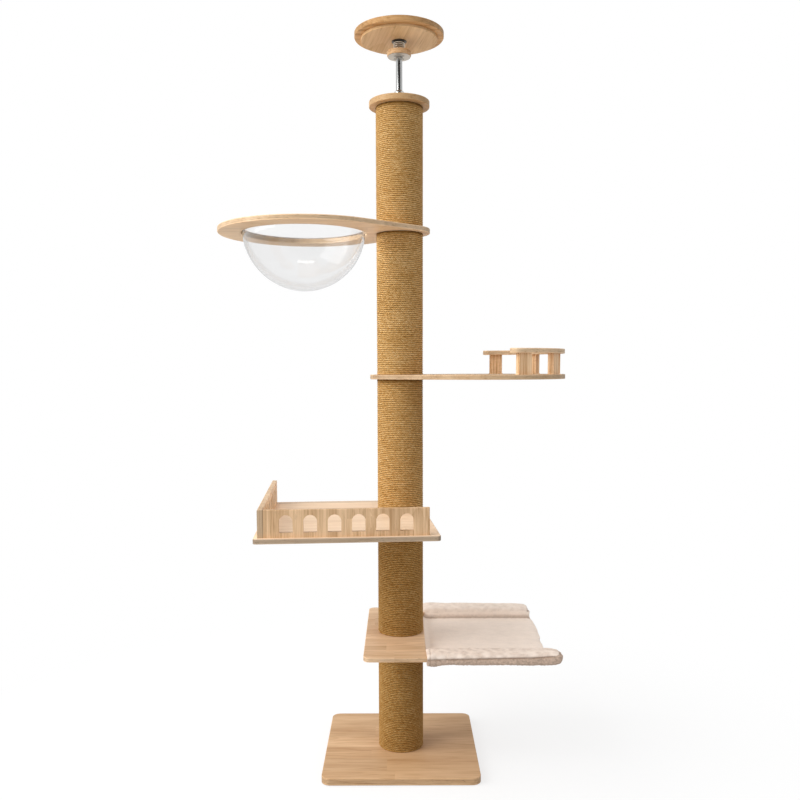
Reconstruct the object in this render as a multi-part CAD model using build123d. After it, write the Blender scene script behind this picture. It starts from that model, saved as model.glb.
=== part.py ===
from build123d import *
import os
from math import asin, cos, degrees, radians, sin

# Floor-to-ceiling cat tree: one sisal post made of five sections, with four swivelling boards clamped
# between them and a spring-loaded jack screw on top that braces a disc against the ceiling.
# Millimetres, and degrees for each turn. +Z is up, and the origin is on the post's axis at the underside
# of the base.

# ---- base ----
base_side = 500
base_thick = 23
base_corner = 28
mat_thick = 2
mat_inset = 12

# ---- post ----
post_radius = 75
rope_thick = 6
core_wall = 8
plug_thick = 18
base_post = 379
hammock_post = 396
balcony_post = 428
perch_post = 448
bowl_post = 375

# ---- boards, rails and their softened edges ----
board_thick = 15
edge_round = 2
fence_round = 1.5

# ---- hammock: a C-shaped board whose two arms, the rear one shorter, carry a plush sling ----
hammock_depth = 544
hammock_back = 115
hammock_shoulder = 78
hammock_reach = 480
hammock_rear_reach = 450
hammock_arm = 55
hammock_corner = 20
plush_thick = 9
sling_gap = 2
sling_short = 20
sling_sag = 10
arm_clear = 0.3

# ---- balcony: a board with an arcaded fence at the front and at the left ----
balcony_turn = 4.5
balcony_left = 442
balcony_right = 78
balcony_front = 457
balcony_rear = 188
balcony_corner = 10
fence_thick = 15
fence_height = 78
fence_inset = 12
front_fence_gap = 31
side_fence_gap = 14
window_count = 6
window_wide = 37.5
window_tall = 49
window_pitch = 67
window_sill = 14
side_window_count = 8
front_screw_count = 3
side_screw_count = 4

# ---- perch: a round board on a neck, with a railing round its outer half ----
perch_turn = 5.4
perch_reach = 300
perch_radius = 240
neck_radius = 97
rail_inset = 2
rail_wide = 43
rail_turn = 172
pillar_count = 5
pillar_turn = 37
pillar_wide = 43
pillar_deep = 20
pillar_tall = 66
pillar_foot = 4.5

# ---- bowl shelf: a round board with a drop-in bowl ----
shelf_reach = 293
shelf_radius = 285
bowl_reach = 306
bowl_radius = 197
bowl_wall = 3
bowl_clear = 3
bowl_lip = 15

# ---- cap and threaded flange ----
cap_radius = 95.5
cap_thick = 18
flange_radius = 31
flange_plate = 4
hub_radius = 16
hub_tall = 30
hub_bevel = 5

# ---- jack screw ----
rod_radius = 10
rod_show = 101
rod_tail = 140
knob_radius = 37.5
knob_thick = 15
knob_plate_radius = 26
knob_plate = 2.5
seat_radius = 23
seat_thick = 2
spring_radius = 21
spring_wire = 3.8
spring_tall = 27
spring_turns = 3

# ---- ceiling plate ----
under_disc_radius = 120
under_disc_thick = 9
top_disc_radius = 140
top_disc_thick = 16
ceiling_mat_inset = 6
rod_engage = 6
spring_stroke = 12
pocket_spare = 2

# ---- fasteners ----
bolt_radius = 5
bolt_head_radius = 12
bolt_head_tall = 5
insert_radius = 7
insert_deep = 15
screw_radius = 2.2
screw_head_radius = 4.2
screw_head_tall = 2.6
screw_bite = 12
plate_screw_count = 4
plate_screw_turn = 45

# ---- clearances ----
running_fit = 0.08

# ---- heights, from the floor up ----
base_bottom = mat_thick
base_top = base_bottom + base_thick
hammock_bottom = base_top + base_post
balcony_bottom = hammock_bottom + board_thick + hammock_post
perch_bottom = balcony_bottom + board_thick + balcony_post
shelf_bottom = perch_bottom + board_thick + perch_post
cap_bottom = shelf_bottom + board_thick + bowl_post
cap_top = cap_bottom + cap_thick
hub_top = cap_top + flange_plate + hub_tall
knob_bottom = hub_top + rod_show + knob_plate
knob_top = knob_bottom + knob_thick
spring_bottom = knob_top + seat_thick
spring_top = spring_bottom + spring_tall
under_disc_bottom = spring_top + seat_thick
top_disc_bottom = under_disc_bottom + under_disc_thick
ceiling_mat_bottom = top_disc_bottom + top_disc_thick

# each post stands on one of these faces and carries the next board or the cap
post_spans = [
    (base_top, base_post),
    (hammock_bottom + board_thick, hammock_post),
    (balcony_bottom + board_thick, balcony_post),
    (perch_bottom + board_thick, perch_post),
    (shelf_bottom + board_thick, bowl_post),
]
core_radius = post_radius - rope_thick
plug_radius = core_radius - core_wall
stud_hole = bolt_radius + running_fit
rod_hole = rod_radius + running_fit
standing = (Align.CENTER, Align.CENTER, Align.MIN)
# which side each arm is on, and how far out it reaches
arm_reaches = [(1, hammock_rear_reach), (-1, hammock_reach)]


def export(node, *solids):
    shape = solids[0] if len(solids) == 1 else Compound(children=list(solids))
    export_step(shape, f"parts/{node}.step")


def disc(radius, bottom, thick, bore=0):
    """An upright disc on the post's axis, or a ring if it has a bore."""
    solid = extrude(Circle(radius), thick)
    if bore:
        solid -= extrude(Circle(bore), thick)
    return Pos(Z=bottom) * solid


def soften(solid, radius):
    """Rounds the edges round a board's top and bottom faces."""
    faces = solid.faces().sort_by(Axis.Z)
    rims = faces[0].outer_wire().edges() + faces[-1].outer_wire().edges()
    return fillet(rims, radius)


def board(outline, bottom):
    """A softened board with a hole for the stud on the post's axis."""
    solid = soften(extrude(outline, board_thick), edge_round)
    solid -= extrude(Circle(stud_hole), board_thick)
    return Pos(Z=bottom) * solid


def teardrop(reach, radius):
    """A round board's outline: a circle round the post and a larger one, joined by their tangents."""
    return make_hull((Circle(neck_radius) + Pos(reach, 0) * Circle(radius)).edges())


def rounded_box(wide, deep, corner):
    return fillet(Rectangle(wide, deep).vertices(), corner)


def wood_screw(length):
    """A countersunk screw along +Z, with its head's face at z = 0."""
    head = Cone(screw_head_radius, screw_radius, screw_head_tall, align=standing)
    return head + extrude(Circle(screw_radius), length)


def spread(count, step):
    """Evenly spaced values, as many on each side of zero."""
    return [(n - (count - 1) / 2) * step for n in range(count)]


def plate_screw_places(plate_radius, inner_radius):
    """Places of a round plate's screws, halfway out on what it leaves round its middle."""
    radius = (plate_radius + inner_radius) / 2
    turns = [radians(plate_screw_turn + 360 * n / plate_screw_count) for n in range(plate_screw_count)]
    return [(radius * cos(turn), radius * sin(turn)) for turn in turns]


# ---- base ----
def make_base():
    slab = soften(extrude(rounded_box(base_side, base_side, base_corner), base_thick), edge_round)
    slab -= extrude(Circle(stud_hole), base_thick)
    slab -= extrude(Circle(bolt_head_radius), bolt_head_tall)
    export("base_board", Pos(Z=base_bottom) * slab)
    mat_side = base_side - 2 * mat_inset
    export("base_mat", extrude(rounded_box(mat_side, mat_side, base_corner - mat_inset), mat_thick))
    bolt = extrude(Circle(bolt_head_radius), bolt_head_tall)
    bolt += extrude(Circle(bolt_radius), base_thick + insert_deep)
    export("base_bolt", Pos(Z=base_bottom) * bolt)


# ---- post sections ----
def make_posts():
    inserts = []
    for number, (bottom, length) in enumerate(post_spans, 1):
        top = bottom + length
        export(f"rope_wrap_{number}", disc(post_radius, bottom, length, core_radius))
        export(f"post_core_{number}", disc(core_radius, bottom, length, plug_radius))
        is_top_post = number == len(post_spans)
        top_bore = rod_hole if is_top_post else insert_radius
        top_plug = disc(plug_radius, top - plug_thick, plug_thick, top_bore)
        if is_top_post:
            for x, y in plate_screw_places(flange_radius, hub_radius):
                top_plug -= Pos(x, y, top - screw_bite) * extrude(Circle(screw_radius), screw_bite)
        export(f"post_plugs_{number}", disc(plug_radius, bottom, plug_thick, insert_radius), top_plug)
        inserts.append(disc(insert_radius, bottom, insert_deep, bolt_radius))
        if not is_top_post:
            inserts.append(disc(insert_radius, top - insert_deep, insert_deep, bolt_radius))
    export("threaded_inserts", *inserts)
    stud_length = board_thick + 2 * insert_deep
    export("joining_studs", *[disc(bolt_radius, bottom - board_thick - insert_deep, stud_length)
                              for bottom, _ in post_spans[1:]])


# ---- hammock ----
def hammock_outline(grow=0):
    """The C-shaped board seen from above; grow widens it on every side."""
    half = hammock_depth / 2
    back, shoulder = -hammock_back, hammock_shoulder
    plan = Pos((back + shoulder) / 2, 0) * Rectangle(shoulder - back, hammock_depth)
    for side, reach in arm_reaches:
        middle = side * (half - hammock_arm / 2)
        plan += Pos((back + reach) / 2, middle) * Rectangle(reach - back, hammock_arm)
    plan = fillet(plan.vertices(), hammock_corner)
    return offset(plan, grow) if grow else plan


def make_hammock():
    plate = board(hammock_outline(), hammock_bottom)
    export("hammock_board", plate)

    # The sling is one sewn piece: a sleeve round each arm, and a sagging bed between their lower edges.
    half = hammock_depth / 2
    sleeve_wide = hammock_arm + 2 * plush_thick
    sleeve_tall = board_thick + 2 * plush_thick
    sleeve_middle = half - hammock_arm / 2
    bed_edge = sleeve_middle - sleeve_wide / 2
    bed_top = -board_thick / 2
    start = hammock_shoulder + sling_gap
    sleeves = []
    for side, reach in arm_reaches:
        sleeve = Pos(side * sleeve_middle, 0) * rounded_box(sleeve_wide, sleeve_tall, plush_thick)
        sleeves.append(extrude(sleeve, reach + plush_thick - start))
    # the bed runs a little way into each sleeve
    bed_end = bed_edge + plush_thick / 2
    top_line = ThreePointArc((-bed_end, bed_top), (0, bed_top - sling_sag), (bed_end, bed_top))
    low_line = Pos(0, -plush_thick) * top_line
    bed = make_face([top_line, low_line, Line(top_line @ 0, low_line @ 0), Line(top_line @ 1, low_line @ 1)])
    sling = extrude(bed, hammock_reach - sling_short - start) + sleeves
    # drawn lying on its end, then stood up so that its run is along +X
    sling = Pos(start, 0, hammock_bottom + board_thick / 2) * Plane.YZ.location * sling
    arms = extrude(hammock_outline(arm_clear), board_thick + 2 * arm_clear)
    sling -= Pos(Z=hammock_bottom - arm_clear) * arms
    export("hammock_sling", sling)


# ---- balcony ----
def arcade(length, count):
    """A fence panel along +X standing on z = 0, with a row of round-headed windows in it."""
    panel = Pos(0, fence_height / 2) * Rectangle(length, fence_height)
    arch = window_wide / 2
    straight = window_tall - arch
    window = Pos(0, straight / 2) * Rectangle(window_wide, straight) + Pos(0, straight) * Circle(arch)
    for x in spread(count, window_pitch):
        panel -= Pos(x, window_sill) * window
    panel = extrude(panel, fence_thick / 2, both=True)
    rims = panel.edges().filter_by(GeomType.LINE).group_by(Axis.Y)[-1]
    panel = fillet(rims.filter_by(Axis.X), fence_round)
    return Plane.XZ.location * panel


def make_balcony():
    turn = Rot(Z=balcony_turn)
    wide = balcony_left + balcony_right
    deep = balcony_front + balcony_rear
    plan = Pos((balcony_right - balcony_left) / 2, (balcony_rear - balcony_front) / 2)
    plan *= rounded_box(wide, deep, balcony_corner)
    plate = board(plan, balcony_bottom)
    floor = balcony_bottom + board_thick

    # the left fence runs the whole depth, and the front fence butts against its inner face
    side_x = -balcony_left + fence_inset + fence_thick / 2
    front_y = -balcony_front + fence_inset + fence_thick / 2
    front_left = side_x + fence_thick / 2
    front_right = balcony_right - front_fence_gap
    front_length = front_right - front_left
    side_start = front_y - fence_thick / 2
    side_end = balcony_rear - side_fence_gap
    side_length = side_end - side_start
    front_middle = (front_left + front_right) / 2
    side_middle = (side_start + side_end) / 2

    front = Pos(front_middle, front_y, floor) * arcade(front_length, window_count)
    side = Pos(side_x, side_middle, floor) * Rot(Z=90) * arcade(side_length, side_window_count)

    # a screw from below into every second pier between the windows
    screw_pitch = 2 * window_pitch
    places = [(front_middle + x, front_y) for x in spread(front_screw_count, screw_pitch)]
    places += [(side_x, side_middle + y) for y in spread(side_screw_count, screw_pitch)]
    screws = []
    for x, y in places:
        screw = Pos(x, y, balcony_bottom) * wood_screw(board_thick + screw_bite)
        plate -= screw
        front -= screw
        side -= screw
        screws.append(turn * screw)
    export("balcony_board", turn * plate)
    export("front_fence", turn * front)
    export("side_fence", turn * side)
    export("fence_screws", *screws)


# ---- perch ----
def pillar():
    """A rail pillar standing on z = 0, its wide side along Y, with a small cove at each side of its foot."""
    half = pillar_wide / 2
    foot = Pos(0, pillar_foot / 2) * Rectangle(pillar_wide + 2 * pillar_foot, pillar_foot)
    for side in (1, -1):
        foot -= Pos(side * (half + pillar_foot), pillar_foot) * Circle(pillar_foot)
    profile = Pos(0, pillar_tall / 2) * Rectangle(pillar_wide, pillar_tall) + foot
    return Plane.YZ.location * extrude(profile, pillar_deep / 2, both=True)


def make_perch():
    turn = Rot(Z=perch_turn)
    plate = board(teardrop(perch_reach, perch_radius), perch_bottom)
    floor = perch_bottom + board_thick
    rail_bottom = floor + pillar_tall
    outer = perch_radius - rail_inset
    middle = outer - rail_wide / 2

    # the railing is part of a ring, with half-round ends
    end_turn = degrees(asin(rail_wide / 2 / middle))
    arc = CenterArc((0, 0), middle, -rail_turn / 2 + end_turn, rail_turn - 2 * end_turn)
    rail = extrude(SlotArc(arc, rail_wide), board_thick)
    rail = Pos(perch_reach, 0, rail_bottom) * soften(rail, edge_round)

    screws = []
    for number, angle in enumerate(spread(pillar_count, pillar_turn), 1):
        place = Pos(perch_reach, 0) * Rot(Z=angle) * Pos(middle, 0)
        screw = Pos(Z=perch_bottom) * place * wood_screw(board_thick + pillar_tall + screw_bite)
        post = Pos(Z=floor) * place * pillar() - screw
        export(f"rail_pillar_{number}", turn * post)
        plate -= screw
        rail -= screw
        screws.append(turn * screw)
    export("perch_board", turn * plate)
    export("perch_rail", turn * rail)
    export("rail_screws", *screws)


# ---- bowl shelf ----
def half_ball(radius):
    """The lower half of a ball about the origin."""
    return Sphere(radius, arc_size2=0, align=None)


def make_bowl_shelf():
    outline = Rot(Z=180) * teardrop(shelf_reach, shelf_radius)
    shelf = board(outline, shelf_bottom)
    hole = Circle(bowl_radius + bowl_clear)
    shelf -= Pos(-bowl_reach, 0, shelf_bottom) * extrude(hole, board_thick)
    export("bowl_shelf", shelf)

    # a clear half sphere that hangs in the hole by its flat lip
    lip_bottom = shelf_bottom + board_thick
    lip_top = lip_bottom + bowl_wall
    inner_radius = bowl_radius - bowl_wall
    lip = extrude(Circle(bowl_radius + bowl_lip) - Circle(inner_radius), -bowl_wall)
    bowl = half_ball(bowl_radius) + lip - half_ball(inner_radius)
    export("bowl", Pos(-bowl_reach, 0, lip_top) * bowl)


# ---- cap and threaded flange ----
def make_cap():
    cap = soften(extrude(Circle(cap_radius), cap_thick), edge_round)
    cap -= extrude(Circle(rod_hole), cap_thick)
    cap = Pos(Z=cap_bottom) * cap
    hub = Cylinder(hub_radius, flange_plate + hub_tall, align=standing)
    hub = chamfer(hub.edges().sort_by(Axis.Z)[-1], hub_bevel)
    flange = hub + extrude(Circle(flange_radius), flange_plate)
    flange -= extrude(Circle(rod_hole), flange_plate + hub_tall)
    flange = Pos(Z=cap_top) * flange
    screws = []
    for x, y in plate_screw_places(flange_radius, hub_radius):
        place = Pos(x, y, cap_top + flange_plate) * Rot(X=180)
        screw = place * wood_screw(flange_plate + cap_thick + screw_bite)
        cap -= screw
        flange -= screw
        screws.append(screw)
    export("top_cap", cap)
    export("threaded_flange", flange)
    export("flange_screws", *screws)


# ---- jack screw ----
def make_jack():
    rod_bottom = cap_bottom - rod_tail
    rod_top = under_disc_bottom + rod_engage
    export("jack_rod", disc(rod_radius, rod_bottom, rod_top - rod_bottom))
    knob = soften(extrude(Circle(knob_radius), knob_thick), edge_round)
    knob = Pos(Z=knob_bottom) * (knob - extrude(Circle(rod_radius), knob_thick))
    plate = disc(knob_plate_radius, knob_bottom - knob_plate, knob_plate, rod_radius)
    screws = []
    for x, y in plate_screw_places(knob_plate_radius, rod_radius):
        screw = Pos(x, y, knob_bottom - knob_plate) * wood_screw(knob_plate + screw_bite)
        knob -= screw
        plate -= screw
        screws.append(screw)
    export("jack_knob", knob)
    export("knob_flange", plate)
    export("knob_screws", *screws)
    export("spring_seat", disc(seat_radius, knob_top, seat_thick, rod_hole))
    rise = spring_tall - spring_wire
    coil = Helix(rise / spring_turns, rise, spring_radius - spring_wire / 2)
    wire = sweep(Plane(coil @ 0, z_dir=coil % 0) * Circle(spring_wire / 2), coil)
    export("jack_spring", Pos(Z=spring_bottom + spring_wire / 2) * wire)


# ---- ceiling plate ----
def make_ceiling_plate():
    pocket = rod_engage + spring_stroke + pocket_spare
    export("spring_cup", disc(seat_radius, spring_top, seat_thick, rod_hole))
    rod_pocket = Pos(Z=under_disc_bottom) * extrude(Circle(rod_hole), pocket)
    under = soften(extrude(Circle(under_disc_radius), under_disc_thick), edge_round)
    export("ceiling_under_disc", Pos(Z=under_disc_bottom) * under - rod_pocket)
    top = soften(extrude(Circle(top_disc_radius), top_disc_thick), edge_round)
    export("ceiling_top_disc", Pos(Z=top_disc_bottom) * top - rod_pocket)
    export("ceiling_mat", disc(top_disc_radius - ceiling_mat_inset, ceiling_mat_bottom, mat_thick))


os.makedirs("parts", exist_ok=True)
make_base()
make_posts()
make_hammock()
make_balcony()
make_perch()
make_bowl_shelf()
make_cap()
make_jack()
make_ceiling_plate()
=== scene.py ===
import math
from types import SimpleNamespace
import bmesh
import bpy
from mathutils import Matrix, Vector, noise
from mathutils.bvhtree import BVHTree


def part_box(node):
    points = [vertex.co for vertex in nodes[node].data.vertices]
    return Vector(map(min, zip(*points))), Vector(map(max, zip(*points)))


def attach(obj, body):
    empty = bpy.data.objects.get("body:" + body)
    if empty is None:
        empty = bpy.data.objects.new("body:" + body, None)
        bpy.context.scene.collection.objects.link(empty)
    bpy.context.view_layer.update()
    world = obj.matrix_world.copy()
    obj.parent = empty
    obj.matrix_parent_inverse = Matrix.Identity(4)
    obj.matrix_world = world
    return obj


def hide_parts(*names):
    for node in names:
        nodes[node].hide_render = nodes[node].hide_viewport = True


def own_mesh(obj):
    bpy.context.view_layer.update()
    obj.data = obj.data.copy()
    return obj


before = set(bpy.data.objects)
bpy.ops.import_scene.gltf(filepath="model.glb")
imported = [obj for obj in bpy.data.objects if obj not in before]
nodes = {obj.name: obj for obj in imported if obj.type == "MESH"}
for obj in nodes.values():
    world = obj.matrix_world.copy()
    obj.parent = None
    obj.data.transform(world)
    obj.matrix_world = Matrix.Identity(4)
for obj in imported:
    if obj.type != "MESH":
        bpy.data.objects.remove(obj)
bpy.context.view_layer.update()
mm = 0.001
print("cat tree: frame loaded,", len(nodes), "nodes")


def mathNode(operation, swapped=False):
    # a method of Wire that adds one maths node
    def method(self, *others):
        terms = (*others, self) if swapped else (self, *others)
        return self.graph.math(operation, *terms)
    return method


class Wire:
    # a node's output that can be used like a number
    def __init__(self, graph, socket):
        self.graph = graph
        self.socket = socket

    __add__ = __radd__ = mathNode("ADD")
    __mul__ = __rmul__ = mathNode("MULTIPLY")
    __sub__, __rsub__ = mathNode("SUBTRACT"), mathNode("SUBTRACT", swapped=True)
    __truediv__, __pow__ = mathNode("DIVIDE"), mathNode("POWER")
    floor, fract, size = mathNode("FLOOR"), mathNode("FRACT"), mathNode("ABSOLUTE")
    over, cos, sin = mathNode("GREATER_THAN"), mathNode("COSINE"), mathNode("SINE")

    def swing(self, amount):
        # half of it up or down, for a value round one half
        return (self - 0.5) * amount

    def ease(self, low, high):
        # 0 below low, 1 above high, smooth between; low may be the larger
        return self.graph.add("ShaderNodeMapRange", {"Value": self, "From Min": low, "From Max": high},
                              interpolation_type="SMOOTHSTEP")


class Graph:
    def __init__(self, tree):
        self.tree = tree

    def feed(self, socket, value):
        if isinstance(value, Wire):
            self.tree.links.new(value.socket, socket)
        else:
            socket.default_value = value

    def add(self, kind, inputs=None, out=0, **settings):
        # out: the output to give back, several in a tuple, or None for the node itself
        node = self.tree.nodes.new(kind)
        for name, value in settings.items():
            setattr(node, name, value)
        for name, value in (inputs or {}).items():
            self.feed(node.inputs[name], value)
        if isinstance(out, tuple):
            return [Wire(self, node.outputs[name]) for name in out]
        return node if out is None else Wire(self, node.outputs[out])

    def math(self, operation, *terms):
        return self.add("ShaderNodeMath", dict(enumerate(terms)), operation=operation)

    def clamp(self, value):
        return self.add("ShaderNodeClamp", {0: value})

    def vector(self, x, y, z):
        return self.add("ShaderNodeCombineXYZ", {0: x, 1: y, 2: z})

    def parts(self, vector):
        return self.add("ShaderNodeSeparateXYZ", {0: vector}, out=(0, 1, 2))

    def blend(self, factor, *colours):
        first, second = ((*colour, 1) if isinstance(colour, tuple) else colour for colour in colours)
        return self.add("ShaderNodeMix", {0: factor, 6: first, 7: second}, out=2, data_type="RGBA")

    def ramp(self, value, *stops):
        node = self.add("ShaderNodeValToRGB", {"Fac": value}, out=None)
        marks = node.color_ramp.elements
        while len(marks) < len(stops):
            marks.new(0.5)
        for mark, (place, colour) in zip(marks, stops):
            mark.position = place
            mark.color = (*colour, 1)
        return Wire(self, node.outputs[0])

    def scaled(self, colour, amount):
        return self.add("ShaderNodeVectorMath", {0: colour, "Scale": amount}, operation="SCALE")

    def times(self, vector, other):
        return self.add("ShaderNodeVectorMath", {0: vector, 1: other}, operation="MULTIPLY")

    def noise(self, vector, scale=1.0, detail=2.0, roughness=0.5):
        return self.add("ShaderNodeTexNoise", {"Vector": vector, "Scale": scale, "Detail": detail,
                                               "Roughness": roughness})

    def cells(self, vector, scale=1.0, out="Distance", kind="3D"):
        return self.add("ShaderNodeTexVoronoi", {"Vector": vector, "Scale": scale}, out,
                        voronoi_dimensions=kind)


class Paint(Graph):
    def __init__(self, name):
        self.material = bpy.data.materials.new(name)
        self.material.use_nodes = True
        super().__init__(self.material.node_tree)
        self.tree.nodes.clear()
        self.place = self.add("ShaderNodeTexCoord", out="Object")

    def stretched(self, x, y, z):
        return self.times(self.place, (x, y, z))

    def attribute(self, name, out="Fac"):
        return self.add("ShaderNodeAttribute", out=out, attribute_name=name)

    def bump(self, height, distance, strength):
        return self.add("ShaderNodeBump", {"Height": height, "Distance": distance, "Strength": strength})

    def surface(self, shader):
        self.add("ShaderNodeOutputMaterial", {"Surface": shader}, out=None)
        return self.material

    def finish(self, **looks):
        # looks: the shader's sockets, their names in camelCase
        shader = self.add("ShaderNodeBsdfPrincipled", out=None)
        sockets = {socket.name.replace(" ", "").lower(): socket for socket in shader.inputs}
        for name, value in looks.items():
            self.feed(sockets[name.lower()], value)
        return self.surface(Wire(self, shader.outputs[0]))


def dress(material, *starts):
    # every CAD node whose name begins with one of the starts
    for name, node in nodes.items():
        if name.startswith(starts):
            node.data.materials.clear()
            node.data.materials.append(material)


# Pine. on: the nodes that wear it; plies: its edge shows three; grain: the axis that the fibres run along;
# turn: undoes a board's turn about the post, in degrees; strip: width of the glued strips; specks: dark flaws
# on the sides; contrast: of the grain; streak: narrow dark bands along it; faces: painted light and shade, a
# tone for the sides that face x, y and z; rearStrip: where the last strip begins and how much darker it is
# painted, since the rest of the board is painted lighter against the fence's shadow
pineLooks = {
    "basePine": {"on": "base_board", "plies": True, "light": (0.70, 0.47, 0.275), "dark": (0.42, 0.235, 0.105),
                 "strip": 0.083, "specks": 0.8},
    "hammockPine": {"on": "hammock_board", "plies": True, "light": (0.86, 0.61, 0.395),
                    "dark": (0.52, 0.315, 0.16), "strip": 0.09, "contrast": 1.1, "streak": 0.5, "specks": 0.8},
    # balcony floor: painted lighter against the fence's shadow, its last strip, beyond that shadow, painted
    # darker again
    "balconyPine": {"on": "balcony_board", "plies": True, "turn": 4.5, "light": (0.94, 0.72, 0.52),
                    "dark": (0.71, 0.495, 0.31), "strip": 0.092, "contrast": 0.8,
                    "faces": (-0.43, -0.43, 0.0), "rearStrip": (0.150, 0.16)},
    "frontFencePine": {"on": "front_fence", "grain": "Z", "turn": 4.5, "light": (0.77, 0.53, 0.32),
                       "dark": (0.46, 0.27, 0.13), "strip": 0.055, "joint": -0.415, "contrast": 1.3,
                       "streak": 0.7, "specks": 0.35},
    "sideFencePine": {"on": "side_fence", "grain": "Z", "swap": True, "turn": 4.5, "light": (0.88, 0.65, 0.43),
                      "dark": (0.54, 0.34, 0.18), "strip": 0.06, "contrast": 1.1, "streak": 0.5,
                      "specks": 0.35, "faces": (0.16, -0.32, 0.0)},
    "perchPine": {"on": "perch_board", "plies": True, "turn": 5.4, "light": (0.74, 0.53, 0.33),
                  "dark": (0.48, 0.29, 0.15), "strip": 0.09, "faces": (-0.06, -0.03, 0.0)},
    "railPine": {"on": "perch_rail", "plies": True, "turn": 5.4, "light": (0.92, 0.70, 0.47),
                 "dark": (0.60, 0.38, 0.21), "strip": 0.09},
    "pillarPine": {"on": "rail_pillar", "grain": "Z", "turn": 5.4, "light": (0.93, 0.66, 0.41),
                   "dark": (0.56, 0.32, 0.15), "strip": 0.2, "contrast": 1.2, "streak": 1.5, "specks": 0.35},
    "shelfPine": {"on": "bowl_shelf", "plies": True, "light": (0.80, 0.59, 0.385), "dark": (0.55, 0.36, 0.20),
                  "strip": 0.1, "specks": 1.2, "faces": (0.0, 0.0, 0.26)},
    "capPine": {"on": "top_cap", "light": (0.70, 0.455, 0.235), "dark": (0.46, 0.255, 0.10), "strip": 0.075,
                "faces": (-0.10, -0.10, 0.0)},
    "knobPine": {"on": "jack_knob", "light": (0.80, 0.54, 0.31), "dark": (0.46, 0.25, 0.10), "strip": 0.04,
                 "contrast": 1.3, "streak": 0.8, "specks": 0.6},
    "discPine": {"on": "ceiling_under_disc", "grain": "Y", "turn": 12, "light": (0.85, 0.565, 0.30),
                 "dark": (0.55, 0.31, 0.125), "strip": 0.09, "contrast": 0.95, "streak": 0.5, "specks": 0.5,
                 "faces": (-0.10, -0.14, 0.0)},
    "platePine": {"on": "ceiling_top_disc", "light": (0.82, 0.49, 0.22), "dark": (0.50, 0.25, 0.085),
                  "strip": 0.075, "contrast": 1.2, "streak": 0.8, "specks": 1.2, "faces": (-0.22, -0.22, 0.0)},
}
pineGrain = {"ring": 0.0046, "ringDepth": 0.26, "fibreDepth": 0.52, "dashDepth": 0.46, "mottleDepth": 0.80,
             "broadDepth": 0.70, "bandDepth": 1.6, "stripContrast": 0.10, "stripLength": 0.9,
             "knotShare": 0.93, "knotSize": 0.07, "knotColour": (0.16, 0.08, 0.035), "knotTone": 0.85,
             "edgeLight": 0.14, "endShade": 0.14, "seamTone": 0.10, "plyTone": 0.16, "glueTone": 0.26,
             "jointTone": 0.62, "speckTone": 0.5}


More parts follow.
